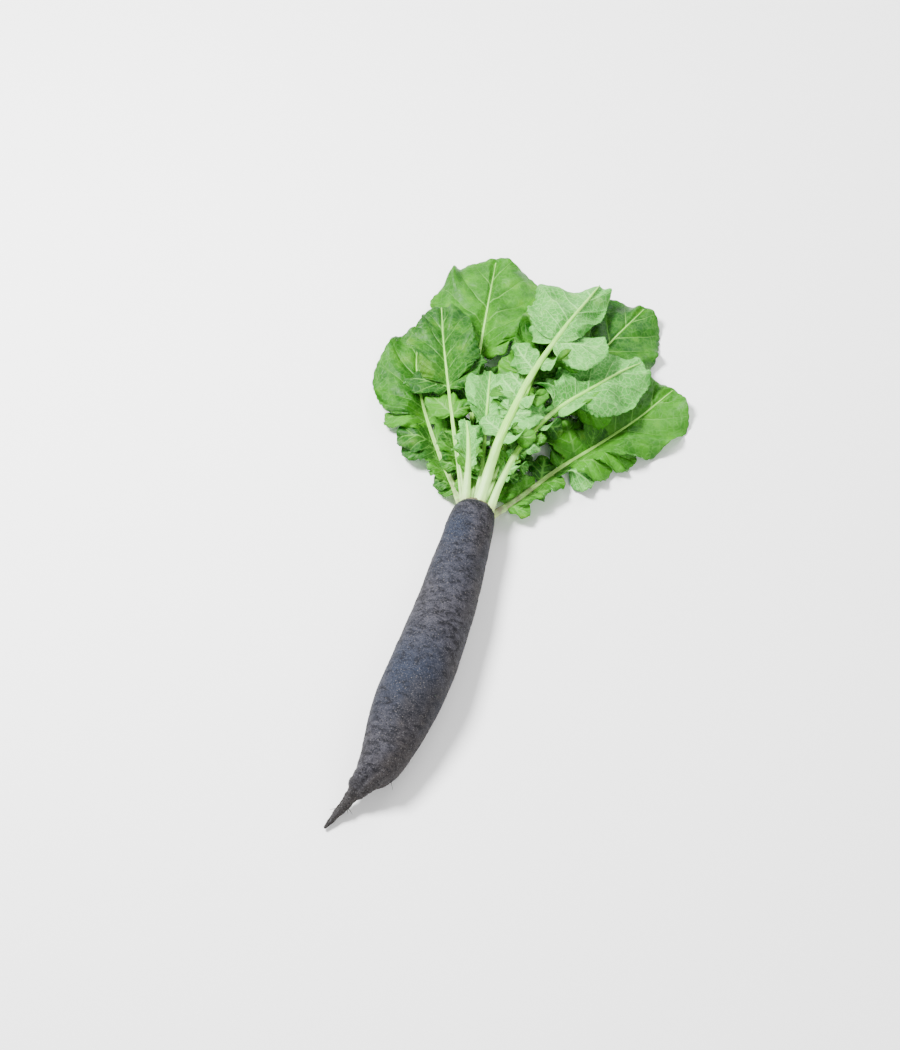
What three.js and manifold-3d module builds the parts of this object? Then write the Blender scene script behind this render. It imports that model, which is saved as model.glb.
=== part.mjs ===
// A long black radish with its leaves, lying on its side as picked.
//
// Millimetres, +Z up. The root lies along Y with its crown towards +Y and its tail towards -Y. The origin
// is on the surface that it rests on, in the middle of the narrow flat that its own weight presses into
// its thickest stretch. Each leaf is a stalk, which goes on as the midrib, and a blade: a rounded end
// lobe, pairs of side lobes that get smaller towards the root, and the narrow wing that joins them.
// Leaves from the lower side of the crown lie with their upper face up. Leaves from its upper side arch
// over them and show their underside, with the midrib standing proud of it.
import * as THREE from "three";
import Module from "manifold-3d";
import { mergeVertices } from "three/addons/utils/BufferGeometryUtils.js";

const wasm = await Module();
wasm.setup();

// Driving dimensions.
const CROWN_Y = 129.5; // where the root ends and the crown begins
const CROWN_CENTRE = [-1.5, CROWN_Y, 20.5];
const CROWN_RADIUS = 13.0;
const CROWN_LENGTH = 3.4;
const GAP = 0.35; // between pieces that touch
const BLADE_THICKNESS = 0.9;
const WING_HALF_WIDTH = 2.6;
const LOBE_LEAN = THREE.MathUtils.degToRad(58); // between the midrib and a side lobe
const LOBE_SLENDERNESS = 0.34; // a side lobe's half width as a share of its length
const NEXT_LOBE_STEP = 0.015; // how much further along the lobe on the other side sits
const FLOOR = BLADE_THICKNESS / 2 + 0.05; // the lowest that the middle of a blade lies
const STALK_START_Y = 127.0; // stalks begin inside the crown and are cut off at its face

// Mesh fineness.
const ROOT_SIDES = 26;
const ROOT_RINGS = 36;
const STALK_SIDES = 8;
const STALK_RINGS = 16;
const END_LOBE_GRID = { across: 6, along: 9 };
const SIDE_LOBE_GRID = { across: 2, along: 4 };
const WING_GRID = { across: 2, along: 6 };

// The root from the crown's edge to the tip of its tail: centre x, y, z, then radius.
const ROOT_STATIONS = [
  [-1.5, 129.5, 20.5, 12.6],
  [-1.4, 127.0, 20.4, 15.2],
  [-1.2, 121.0, 20.2, 17.2],
  [-0.6, 107.0, 20.2, 18.8],
  [0.4, 76.0, 20.6, 20.8],
  [1.6, 42.0, 22.3, 22.7],
  [1.4, 15.0, 23.4, 23.8],
  [0.6, -13.0, 24.4, 24.9],
  [-1.0, -35.0, 24.3, 24.7],
  [-3.0, -57.0, 22.7, 22.9],
  [-4.6, -77.0, 21.4, 19.8],
  [-6.6, -92.0, 20.2, 16.8],
  [-10.5, -103.0, 18.0, 13.0],
  [-14.6, -111.5, 15.2, 9.2],
  [-19.0, -120.0, 11.6, 5.7],
  [-24.0, -129.0, 7.4, 3.7],
  [-28.5, -138.0, 4.2, 2.3],
  [-32.0, -145.5, 2.6, 0.8],
];

// The leaves. `points` is the stalk's route from the crown to the leaf's tip: the first point is only x
// and z, because every stalk starts at the crown. `base` is the stalk's half width and half height there.
// A leaf that shows its `underside` has its blade below its midrib. `hang` is how steeply the blade
// falls away on both sides. `end` is the end lobe: where it starts along the stalk, and its half width.
// `pairs` are the side lobes: how many, where the first and last pair sit, and their lengths there.
const LEAVES = [
  {
    name: "main_leaf",
    underside: true,
    base: [4.4, 3.1],
    points: [[0.5, 27.5], [1, 156, 36], [3, 188, 45], [9, 240, 50], [22, 298, 44], [37, 360, 30]],
    hang: 0.2,
    end: { from: 0.7, halfWidth: 34 },
    pairs: { count: 3, at: [0.38, 0.66], length: [13, 38] },
  },
  {
    name: "short_leaf",
    underside: true,
    base: [3.7, 2.8],
    points: [[-9.5, 25.5], [-13, 143, 31], [-17, 160, 36], [-22, 176, 38], [-28, 192, 36]],
    hang: 0.1,
    end: { from: 0.5, halfWidth: 11 },
    pairs: { count: 1, at: [0.42, 0.42], length: [9, 9] },
  },
  {
    name: "inner_leaf",
    underside: true,
    base: [2.1, 1.7],
    points: [[-3.8, 21.2], [-6, 158, 27], [-11, 185, 31], [-18, 216, 31], [-26, 252, 27]],
    hang: 0.08,
    end: { from: 0.6, halfWidth: 16 },
    pairs: { count: 2, at: [0.36, 0.56], length: [9, 15] },
  },
  {
    name: "right_upper_leaf",
    underside: true,
    base: [3.3, 2.5],
    points: [[9.5, 24.5], [11, 150, 28], [18, 186, 33], [34, 224, 34], [60, 262, 29], [88, 298, 22]],
    hang: 0.1,
    end: { from: 0.64, halfWidth: 26 },
    pairs: { count: 3, at: [0.26, 0.58], length: [9, 24] },
  },
  {
    name: "left_upper_leaf",
    underside: false,
    base: [2.6, 2.0],
    points: [[-10.5, 19.5], [-21, 152, 21], [-38, 190, 22], [-55, 230, 21], [-71, 270, 19], [-84, 306, 16]],
    hang: 0.08,
    end: { from: 0.6, halfWidth: 26 },
    pairs: { count: 3, at: [0.26, 0.55], length: [10, 24] },
  },
  {
    name: "centre_back_leaf",
    underside: false,
    base: [2.6, 2.0],
    points: [[2.8, 19.6], [4, 160, 17], [5, 205, 18], [8, 255, 21], [12, 305, 22], [14, 346, 18]],
    hang: 0.08,
    end: { from: 0.62, halfWidth: 30 },
    pairs: { count: 3, at: [0.28, 0.58], length: [10, 24] },
  },
  {
    name: "left_lower_leaf",
    underside: false,
    base: [3.2, 2.3],
    points: [[-10.8, 14.0], [-26, 150, 9], [-48, 180, 4], [-70, 214, 3.2], [-88, 250, 2.8], [-98, 288, 2]],
    hang: 0.12,
    end: { from: 0.58, halfWidth: 34 },
    pairs: { count: 3, at: [0.28, 0.53], length: [10, 26] },
  },
  {
    name: "broad_back_leaf",
    underside: false,
    base: [3.5, 2.6],
    points: [[-3.6, 12.2], [-15, 165, 7], [-29, 210, 4.5], [-40, 260, 6.5], [-49, 320, 8.5], [-57, 376, 4]],
    hang: 0.12,
    end: { from: 0.64, halfWidth: 47 },
    pairs: { count: 3, at: [0.28, 0.6], length: [10, 28] },
  },
  {
    name: "right_lower_leaf",
    underside: false,
    base: [3.2, 2.3],
    points: [[10.3, 17.2], [25, 152, 9], [46, 188, 4], [72, 222, 3.2], [98, 258, 2.8], [118, 292, 2]],
    hang: 0.12,
    end: { from: 0.6, halfWidth: 36 },
    pairs: { count: 3, at: [0.28, 0.55], length: [10, 26] },
  },
  {
    name: "right_back_leaf",
    underside: false,
    base: [3.3, 2.4],
    points: [[4.0, 13.0], [10, 168, 7], [20, 214, 5.5], [37, 266, 10], [58, 318, 13], [76, 362, 9]],
    hang: 0.1,
    end: { from: 0.66, halfWidth: 38 },
    pairs: { count: 3, at: [0.28, 0.62], length: [10, 28] },
  },
];

const COLOURS = {
  root: { color: 0x2e2c33, roughness: 0.72 },
  crown: { color: 0x7d7a4a, roughness: 0.7 },
  stalk: { color: 0xc4d79b, roughness: 0.5 },
  blade: { color: 0x5f9c46, roughness: 0.55 },
};

const mix = (a, b, t) => a + (b - a) * t;

// A solid of manifold-3d from a three.js geometry whose surface is closed.
function solidFrom(geometry) {
  const bare = geometry.clone();
  bare.deleteAttribute("normal");
  bare.deleteAttribute("uv");
  const merged = mergeVertices(bare, 1e-3);
  return new wasm.Manifold(
    new wasm.Mesh({
      numProp: 3,
      vertProperties: new Float32Array(merged.attributes.position.array),
      triVerts: new Uint32Array(merged.index.array),
    }),
  );
}

// The geometry of a manifold-3d solid.
function geometryFrom(solid) {
  const made = solid.getMesh();
  const geometry = new THREE.BufferGeometry();
  geometry.setAttribute("position", new THREE.BufferAttribute(made.vertProperties, 3));
  geometry.setIndex(new THREE.BufferAttribute(made.triVerts, 1));
  geometry.computeVertexNormals();
  return geometry;
}

// Moves each vertex of a geometry to the place that `place` gives it.
function remap(geometry, place) {
  const position = geometry.attributes.position;
  const vertex = new THREE.Vector3();
  for (let i = 0; i < position.count; i++) {
    vertex.fromBufferAttribute(position, i);
    position.setXYZ(i, ...place(vertex).toArray());
  }
  return geometry;
}

// The direction along a curve, the one square to it that is nearest `up`, and the one across both.
function frameAt(curve, t, up) {
  const along = curve.getTangentAt(t);
  const side = new THREE.Vector3().crossVectors(along, up).normalize();
  const normal = new THREE.Vector3().crossVectors(side, along);
  return { along, side, normal };
}

// A tube of changing oval section: a unit cylinder laid along a curve. `size` gives the half width and
// half height at each share of the way, and `up` the direction that the height is measured in.
function tube(curve, size, up, sides, rings) {
  return remap(new THREE.CylinderGeometry(1, 1, 1, sides, rings), (v) => {
    const t = THREE.MathUtils.clamp(v.y + 0.5, 0, 1);
    const { side, normal } = frameAt(curve, t, up);
    const [halfWidth, halfHeight] = size(t);
    const centre = curve.getPointAt(t);
    return centre.addScaledVector(side, v.x * halfWidth).addScaledVector(normal, v.z * halfHeight);
  });
}

// A thin closed sheet: a box with a grid of faces, laid on a surface. `surface` gives the middle of the
// sheet at a share of the way along, from 0 to 1, and across, from -1 to 1.
function sheet(surface, thickness, { across, along }) {
  const step = 1e-3;
  return remap(new THREE.BoxGeometry(1, 1, 1, across, along, 1), (v) => {
    const s = v.y + 0.5;
    const w = 2 * v.x;
    const low = Math.max(s - step, 0);
    const left = Math.max(w - step, -1);
    const alongStep = surface(low + step, w).sub(surface(low, w));
    const acrossStep = surface(s, left + step).sub(surface(s, left));
    const normal = new THREE.Vector3().crossVectors(acrossStep, alongStep).normalize();
    return surface(s, w).addScaledVector(normal, v.z * thickness);
  });
}

// Half the width of a lobe along its length, as a share of its widest: a round tip and a narrower base.
function lobeOutline(s, base, tip) {
  return Math.max(base * (1 - s), Math.pow(Math.sin(Math.PI * Math.pow(s, 0.82)), 0.62), tip);
}

// The stalk's route, its size along the way, and the middle of the blade where it lies on the midrib.
function spineOf(leaf) {
  const [baseX, baseZ] = leaf.points[0];
  const route = [[baseX, STALK_START_Y, baseZ], ...leaf.points.slice(1)];
  const curve = new THREE.CatmullRomCurve3(route.map((p) => new THREE.Vector3(...p)));
  const up = new THREE.Vector3(0, 0, leaf.underside ? -1 : 1);
  const size = (t) => {
    const share = Math.pow(1 - t, 1.15);
    return [mix(0.8, leaf.base[0], share), mix(0.7, leaf.base[1], share)];
  };
  const bladeAt = (t) => {
    const { normal } = frameAt(curve, t, up);
    return curve.getPointAt(t).addScaledVector(normal, size(t)[1] + GAP + BLADE_THICKNESS / 2);
  };
  return { curve, up, size, bladeAt };
}

// Lets a point of the blade hang, past the stalk's own width, and keeps it on the surface below.
function settle(leaf, point, reach) {
  point.z -= leaf.hang * Math.max(0, Math.abs(reach) - leaf.base[0]);
  point.z = Math.max(point.z, FLOOR);
  return point;
}

function endLobe(leaf, spine) {
  const { from, halfWidth } = leaf.end;
  return sheet(
    (s, w) => {
      const t = mix(from, 1, s);
      const reach = halfWidth * lobeOutline(s, 0.08, 0.06) * w;
      const { side } = frameAt(spine.curve, t, spine.up);
      return settle(leaf, spine.bladeAt(t).addScaledVector(side, reach), reach);
    },
    BLADE_THICKNESS,
    END_LOBE_GRID,
  );
}

function wing(leaf, spine) {
  const from = leaf.pairs.at[0] - 0.03;
  const to = mix(leaf.end.from, 1, 0.2);
  return sheet(
    (s, w) => {
      const t = mix(from, to, s);
      const reach = WING_HALF_WIDTH * w;
      const { side } = frameAt(spine.curve, t, spine.up);
      return settle(leaf, spine.bladeAt(t).addScaledVector(side, reach), reach);
    },
    BLADE_THICKNESS,
    WING_GRID,
  );
}

// A side lobe leaves the midrib forwards and outwards.
function sideLobe(leaf, spine, at, length, hand) {
  const { along, side, normal } = frameAt(spine.curve, at, spine.up);
  const out = along.clone().multiplyScalar(Math.cos(LOBE_LEAN));
  out.addScaledVector(side, hand * Math.sin(LOBE_LEAN));
  const acrossOut = new THREE.Vector3().crossVectors(out, normal).normalize();
  const root = spine.bladeAt(at);
  return sheet(
    (s, w) => {
      const halfWidth = LOBE_SLENDERNESS * length * lobeOutline(s, 0.5, 0.12);
      const point = root.clone().addScaledVector(out, s * length).addScaledVector(acrossOut, halfWidth * w);
      return settle(leaf, point, point.clone().sub(root).dot(side));
    },
    BLADE_THICKNESS,
    SIDE_LOBE_GRID,
  );
}

function bladeOf(leaf, spine) {
  const { count, at, length } = leaf.pairs;
  let blade = solidFrom(endLobe(leaf, spine)).add(solidFrom(wing(leaf, spine)));
  for (let i = 0; i < count; i++) {
    const share = count > 1 ? i / (count - 1) : 0;
    for (const hand of [-1, 1]) {
      const place = mix(at[0], at[1], share) + (hand > 0 ? NEXT_LOBE_STEP : 0);
      const lobe = sideLobe(leaf, spine, place, mix(length[0], length[1], share), hand);
      blade = blade.add(solidFrom(lobe));
    }
  }
  return blade;
}

function stalkOf(leaf, spine) {
  const whole = solidFrom(tube(spine.curve, spine.size, spine.up, STALK_SIDES, STALK_RINGS));
  return whole.trimByPlane([0, 1, 0], CROWN_Y + GAP + CROWN_LENGTH + GAP);
}

function rootSolid() {
  const centres = ROOT_STATIONS.map(([x, y, z]) => new THREE.Vector3(x, y, z)).reverse();
  const radii = ROOT_STATIONS.map((station) => new THREE.Vector3(station[3], 0, 0)).reverse();
  const centreLine = new THREE.CatmullRomCurve3(centres);
  const radiusLine = new THREE.CatmullRomCurve3(radii, false, "catmullrom", 0.5);
  const size = (t) => {
    const radius = radiusLine.getPoint(centreLine.getUtoTmapping(t)).x;
    return [radius, radius];
  };
  const whole = tube(centreLine, size, new THREE.Vector3(0, 0, 1), ROOT_SIDES, ROOT_RINGS);
  return solidFrom(whole).trimByPlane([0, 0, 1], 0).trimByPlane([0, -1, 0], -CROWN_Y);
}

function crownGeometry() {
  const disc = new THREE.CylinderGeometry(CROWN_RADIUS - 2.2, CROWN_RADIUS - 0.8, CROWN_LENGTH, 24);
  disc.translate(0, CROWN_LENGTH / 2, 0);
  return disc;
}

function mesh(name, geometry, look) {
  const made = new THREE.Mesh(geometry, new THREE.MeshStandardMaterial({ ...look, metalness: 0 }));
  made.name = name;
  return made;
}

const radish = new THREE.Group();
radish.add(mesh("taproot", geometryFrom(rootSolid()), COLOURS.root));

const crown = mesh("crown", crownGeometry(), COLOURS.crown);
crown.position.set(CROWN_CENTRE[0], CROWN_Y + GAP, CROWN_CENTRE[2]);
radish.add(crown);

for (const leaf of LEAVES) {
  const spine = spineOf(leaf);
  const whole = new THREE.Group();
  whole.add(mesh(`${leaf.name}_stalk`, geometryFrom(stalkOf(leaf, spine)), COLOURS.stalk));
  whole.add(mesh(`${leaf.name}_blade`, geometryFrom(bladeOf(leaf, spine)), COLOURS.blade));
  radish.add(whole);
}

export default radish;
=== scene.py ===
# A long black radish with its leaves: the surfaces that are seen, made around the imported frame.
#
# Lengths in this file are millimetres, in the frame's own axes, and turn into metres where a mesh is made.
# The stalks follow the same routes as the frame's stalks. Every leaf is a stalk, and lobes that are thin
# closed sheets with an upper and a lower face. Leaves are laid from the lowest to the highest, and each
# lobe is lifted where it would cut through what already lies below it.
import math

import bpy
import numpy as np
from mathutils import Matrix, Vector


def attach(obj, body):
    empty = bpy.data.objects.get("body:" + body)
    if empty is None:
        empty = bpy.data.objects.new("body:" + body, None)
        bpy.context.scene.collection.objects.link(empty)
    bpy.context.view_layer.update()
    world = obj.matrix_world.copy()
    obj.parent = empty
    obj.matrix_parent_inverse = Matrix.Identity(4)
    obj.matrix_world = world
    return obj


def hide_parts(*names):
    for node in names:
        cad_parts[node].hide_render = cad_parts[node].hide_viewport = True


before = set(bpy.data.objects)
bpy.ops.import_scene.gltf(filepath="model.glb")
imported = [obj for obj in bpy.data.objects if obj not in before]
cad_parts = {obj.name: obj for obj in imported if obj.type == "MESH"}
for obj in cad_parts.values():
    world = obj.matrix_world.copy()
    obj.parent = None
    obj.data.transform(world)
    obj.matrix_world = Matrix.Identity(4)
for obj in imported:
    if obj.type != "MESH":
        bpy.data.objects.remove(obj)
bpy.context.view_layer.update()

MM = 0.001
UP = np.array([0.0, 0.0, 1.0])

# The camera looks down on the radish from its tail's end, a little from the right.
CAMERA_PLACE = (183.1, -543.5, 1202.4)
CAMERA_AZIMUTH = math.radians(17)
CAMERA_ELEVATION = math.radians(60)
CAMERA_LENS = 60.64

# The root, from the crown's edge to the tip of its tail: centre x, y, z, then radius.
ROOT_STATIONS = [
    (-1.6, 133.2, 20.6, 7.6),
    (-1.5, 131.2, 20.5, 11.2),
    (-1.4, 127.4, 20.4, 14.8),
    (-1.2, 121.0, 20.2, 17.0),
    (-0.6, 107.0, 20.2, 18.8),
    (0.4, 76.0, 20.6, 20.8),
    (1.6, 42.0, 22.3, 22.7),
    (1.4, 15.0, 23.4, 23.8),
    (0.6, -13.0, 24.4, 24.9),
    (-1.0, -35.0, 24.3, 24.7),
    (-3.0, -57.0, 22.7, 22.9),
    (-4.6, -77.0, 21.4, 19.8),
    (-6.6, -92.0, 20.2, 16.8),
    (-10.5, -103.0, 18.0, 13.0),
    (-14.6, -111.5, 15.2, 8.5),
    (-19.0, -120.0, 11.6, 4.8),
    (-24.0, -129.0, 7.4, 3.5),
    (-28.5, -138.0, 4.2, 2.5),
    (-32.0, -145.5, 2.6, 1.1),
]
TAIL_Y = -96.0  # where the body of the root ends and its tail begins
CROWN_CENTRE = np.array([-1.5, 129.8, 20.5])
STALK_START_Y = 127.0

# The leaves, from the lowest to the highest. `points` is the stalk's route, whose first point is only x and
# z. `base` is the stalk's half width and half height at the crown. `turned` leaves show their lower face.
# `end` is the end lobe: where it starts along the stalk, its half width, how far its sides fold up, and how
# much wider it is towards its base than towards its tip. `skew` makes one side of it wider than the other.
# `pairs` are the side lobes: how many, where the first and last sit, and their lengths there. Small leaflets
# fill the stretch from the stalk's `bare` foot up to them.
LEAVES = {
    "left_lower_leaf": dict(
        points=[(-10.8, 14.0), (-26, 150, 9), (-48, 180, 4), (-70, 214, 3.2), (-88, 250, 2.8), (-98, 288, 2)],
        base=(3.2, 2.3), turned=False, hang=0.03, purple=0.6, bare=0.1,
        end=(0.52, 36, 0.12, 0.16), pairs=(4, 0.26, 0.5, 17, 40),
    ),
    "right_lower_leaf": dict(
        points=[(10.3, 17.2), (25, 152, 9), (46, 188, 4), (72, 222, 3.2), (98, 258, 2.8), (118, 292, 2)],
        base=(3.2, 2.3), turned=False, hang=0.03, purple=0.8, bare=0.09,
        end=(0.55, 36, 0.0, -0.05), pairs=(5, 0.22, 0.53, 18, 42),
    ),
    "broad_back_leaf": dict(
        points=[(-3.6, 12.2), (-15, 165, 7), (-29, 210, 4.5), (-40, 260, 6.5), (-49, 320, 8.5), (-57, 376, 4)],
        base=(3.5, 2.6), turned=False, hang=0.03, purple=0.15, bare=0.1,
        end=(0.62, 47, 0.1, 0.08), pairs=(4, 0.34, 0.6, 15, 46),
    ),
    "right_back_leaf": dict(
        points=[(4.0, 13.0), (10, 168, 7), (20, 214, 5.5), (37, 266, 10), (58, 318, 13), (76, 362, 9)],
        base=(3.3, 2.4), turned=False, hang=0.04, purple=0.2, bare=0.1,
        end=(0.64, 41, -0.05, 0.1), pairs=(4, 0.34, 0.62, 15, 44),
    ),
    "left_upper_leaf": dict(
        points=[(-10.5, 19.5), (-21, 152, 21), (-38, 190, 22), (-55, 230, 21), (-71, 270, 19), (-84, 306, 16)],
        base=(2.6, 2.0), turned=False, hang=0.1, purple=0.3, bare=0.16,
        end=(0.58, 29, 0.45, 0.1), pairs=(3, 0.32, 0.55, 13, 34),
    ),
    "centre_back_leaf": dict(
        points=[(2.8, 19.6), (4, 160, 17), (5, 205, 18), (8, 255, 21), (12, 305, 22), (14, 346, 18)],
        base=(2.6, 2.0), turned=False, hang=0.1, purple=0.1, bare=0.11,
        end=(0.6, 31, 0.3, 0.05), pairs=(4, 0.32, 0.58, 12, 36),
    ),
    "inner_leaf": dict(
        points=[(-3.8, 21.2), (-6, 158, 27), (-11, 185, 31), (-18, 216, 31), (-26, 252, 27)],
        base=(2.1, 1.7), turned=True, hang=0.1, purple=0.0, bare=0.2,
        end=(0.58, 19, 0.3, 0.0), pairs=(3, 0.36, 0.58, 10, 24),
    ),
    "right_upper_leaf": dict(
        points=[(9.5, 24.5), (11, 150, 28), (18, 186, 33), (34, 224, 34), (60, 262, 29), (88, 298, 22)],
        base=(3.3, 2.5), turned=True, hang=0.14, purple=0.0, bare=0.15,
        end=(0.58, 31, 0.12, 0.1), pairs=(3, 0.34, 0.56, 13, 36),
    ),
    "short_leaf": dict(
        points=[(-9.5, 25.5), (-13, 143, 31), (-17, 160, 36), (-22, 176, 38), (-28, 192, 36)],
        base=(3.7, 2.8), turned=True, hang=0.1, purple=0.15, bare=0.36,
        end=(0.48, 14, 0.6, 0.0), pairs=(2, 0.4, 0.52, 9, 13),
    ),
    "main_leaf": dict(
        points=[(0.5, 27.5), (1, 156, 36), (3, 188, 45), (9, 240, 50), (22, 298, 44), (37, 360, 30)],
        base=(4.4, 3.1), turned=True, hang=0.12, purple=0.0, bare=0.24,
        skew=0.4, end=(0.66, 34, 0.25, -0.08), pairs=(3, 0.42, 0.66, 22, 46),
    ),
}

# How fine the meshes are.
ROOT_RINGS = 380
ROOT_SIDES = 180
STALK_RINGS = 150
STALK_SIDES = 28
END_LOBE_ROWS, END_LOBE_COLUMNS = 96, 40
SIDE_LOBE_FEWEST_ROWS, SIDE_LOBE_MOST_ROWS = 16, 36  # one row a millimetre between these
END_LOBE_STRETCH = 1.02  # an end lobe goes this much past the tip of its midrib


# Smooth noise.


def hashed(cells, seed):
    """A number from -1 to 1 for each whole-number cell."""
    mixed = cells[..., 0] * 374761393 + cells[..., 1] * 668265263 + cells[..., 2] * 1274126177 + seed * 974711
    mixed = mixed & 0xFFFFFFFF
    mixed = ((mixed ^ (mixed >> 15)) * 2246822519) & 0xFFFFFFFF
    mixed = ((mixed ^ (mixed >> 13)) * 3266489917) & 0xFFFFFFFF
    return (mixed ^ (mixed >> 16)) / 2147483648.0 - 1.0


def noise(points, size, seed):
    """Smooth noise from -1 to 1, with features about `size` across."""
    places = np.asarray(points, float) / size
    cells = np.floor(places).astype(np.int64)
    share = places - cells
    share = share * share * (3 - 2 * share)
    total = np.zeros(places.shape[:-1])
    for corner in np.ndindex(2, 2, 2):
        weight = np.prod(np.where(np.array(corner), share, 1 - share), axis=-1)
        total += weight * hashed(cells + np.array(corner), seed)
    return total


def fractal(points, size, seed, octaves=3):
    return sum(noise(points, size / 2**k, seed + k) / 2**k for k in range(octaves))


def wander(places, size, seed):
    """Smooth noise along a line."""
    places = np.asarray(places, float)
    return noise(np.stack([places, np.zeros_like(places), np.zeros_like(places)], axis=-1), size, seed)


def smoothstep(low, high, value):
    share = np.clip((value - low) / (high - low), 0, 1)
    return share * share * (3 - 2 * share)


# Curves and frames along them.


def unit(vectors):
    return vectors / np.linalg.norm(vectors, axis=-1, keepdims=True)


def smooth_curve(points, count):
    """`count` places along a centripetal Catmull-Rom curve. Any columns past the third go along."""
    points = np.asarray(points, float)
    padded = np.vstack([2 * points[0] - points[1], points, 2 * points[-1] - points[-2]])
    pieces = []
    for a, b, c, d in zip(padded, padded[1:], padded[2:], padded[3:]):
        before, middle, after = (np.linalg.norm((q - p)[:3]) ** 0.5 for p, q in ((a, b), (b, c), (c, d)))
        leave = ((b - a) / before - (c - a) / (before + middle) + (c - b) / middle) * middle
        arrive = ((c - b) / middle - (d - b) / (middle + after) + (d - c) / after) * middle
        t = np.linspace(0, 1, 60, endpoint=False)[:, None]
        pieces.append(
            b + leave * t + (3 * (c - b) - 2 * leave - arrive) * t**2 + (2 * (b - c) + leave + arrive) * t**3
        )
    curve = np.vstack([*pieces, points[-1:]])
    steps = np.linalg.norm(np.diff(curve[:, :3], axis=0), axis=1)
    reached = np.concatenate([[0], np.cumsum(steps)])
    wanted = np.linspace(0, reached[-1], count)
    return np.stack([np.interp(wanted, reached, column) for column in curve.T], axis=1)


class Spine:
    """A curve with a frame that goes along it: `side` across the blade, `normal` out of its upper face."""

    def __init__(self, centres, up, roll=None):
        self.centres = centres
        self.along = unit(np.gradient(centres, axis=0))
        self.side = unit(np.cross(self.along, up))
        self.normal = np.cross(self.side, self.along)
        if roll is not None:
            cos, sin = np.cos(roll)[:, None], np.sin(roll)[:, None]
            self.side, self.normal = self.side * cos + self.normal * sin, self.normal * cos - self.side * sin
        steps = np.linalg.norm(np.diff(centres, axis=0), axis=1)
        self.reached = np.concatenate([[0], np.cumsum(steps)])
        self.length = self.reached[-1]

    def at(self, reach):
        """Centre, along, side and normal at distances along the curve, which may run past its ends."""
        inside = np.clip(reach, 0, self.length)
        rows = []
        for values in (self.centres, self.along, self.side, self.normal):
            rows.append(np.stack([np.interp(inside, self.reached, column) for column in values.T], axis=-1))
        rows[0] = rows[0] + rows[1] * (reach - inside)[..., None]
        return rows

    def place(self, across, reach, height):
        centre, _, side, normal = self.at(reach)
        return centre + side * across[..., None] + normal * height[..., None]


# Meshes.


def make_piece(name, points, faces, materials, face_material=None, attributes=None):
    """A closed mesh piece that rides on the radish."""
    mesh = bpy.data.meshes.new(name)
    mesh.from_pydata((points * MM).tolist(), [], faces)
    for material in materials:
        mesh.materials.append(material)
    if face_material is not None:
        mesh.polygons.foreach_set("material_index", np.asarray(face_material, np.int32))
    mesh.polygons.foreach_set("use_smooth", np.ones(len(mesh.polygons), bool))
    for key, values in (attributes or {}).items():
        kind = "FLOAT_VECTOR" if values.ndim == 2 else "FLOAT"
        layer = mesh.attributes.new(key, kind, "POINT")
        layer.data.foreach_set("vector" if values.ndim == 2 else "value", values.astype(np.float32).ravel())
    mesh.update()
    piece = bpy.data.objects.new(name, mesh)
    bpy.context.scene.collection.objects.link(piece)
    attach(piece, "root")
    return piece


def tube_faces(rings, sides, offset=0):
    """Faces of a tube of rings, closed at each end by a fan to one more point, as `tube_points` lays them."""
    faces = []
    for i in range(rings - 1):
        for j in range(sides):
            k = (j + 1) % sides
            faces.append((i * sides + j, i * sides + k, (i + 1) * sides + k, (i + 1) * sides + j))
    first, last = rings * sides, rings * sides + 1
    for j in range(sides):
        k = (j + 1) % sides
        faces.append((first, k, j))
        faces.append((last, (rings - 1) * sides + j, (rings - 1) * sides + k))
    return [tuple(offset + corner for corner in face) for face in faces]


def tube_points(rings, start, end):
    return np.vstack([rings.reshape(-1, 3), start, end])


def ring_directions(spine, angle):
    """Directions out of a spine, for each of its places and each angle round it."""
    cos, sin = np.cos(angle)[None, :, None], np.sin(angle)[None, :, None]
    return cos * spine.side[:, None] + sin * spine.normal[:, None]


def round_tube(centres, radii, sides):
    """Points of a round tube along centres, closed by a point just past each end."""
    spine = Spine(centres, np.array([0.02, 0.03, 1.0]))
    angle = np.arange(sides) * 2 * math.pi / sides
    rings = centres[:, None] + ring_directions(spine, angle) * np.asarray(radii)[:, None, None]
    start = centres[0] - spine.along[0] * radii[0] * 0.5
    end = centres[-1] + spine.along[-1] * radii[-1] * 0.5
    return tube_points(rings, start, end)


# Materials.


def add(tree, kind, inputs=None, **settings):
    """A node. An input is linked where its value is a socket, and set where it is a value."""
    made = tree.nodes.new(kind)
    for key, value in settings.items():
        setattr(made, key, value)
    for key, value in (inputs or {}).items():
        if isinstance(value, bpy.types.NodeSocket):
            tree.links.new(value, made.inputs[key])
        else:
            made.inputs[key].default_value = value
    return made


def calc(tree, operation, a, b=0.0, clamp=False):
    return add(tree, "ShaderNodeMath", {0: a, 1: b}, operation=operation, use_clamp=clamp).outputs[0]


def blend(tree, share, a, b, how="MIX"):
    made = add(tree, "ShaderNodeMix", data_type="RGBA", blend_type=how, clamp_factor=True)
    for key, value in ((0, share), (6, a), (7, b)):
        if isinstance(value, bpy.types.NodeSocket):
            tree.links.new(value, made.inputs[key])
        else:
            made.inputs[key].default_value = value
    return made.outputs[2]


def ramp(tree, value, low, high):
    """0 below low, 1 above high, and a smooth rise between them."""
    made = add(tree, "ShaderNodeMapRange", {0: value, 1: low, 2: high}, interpolation_type="SMOOTHSTEP")
    return made.outputs[0]


def speckle(tree, place, size, detail=2.0, roughness=0.5, distortion=0.0):
    """Noise from 0 to 1 with features about `size` millimetres across."""
    values = {"Vector": place, "Scale": 1 / size, "Detail": detail, "Roughness": roughness}
    return add(tree, "ShaderNodeTexNoise", {**values, "Distortion": distortion}).outputs["Fac"]


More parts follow.
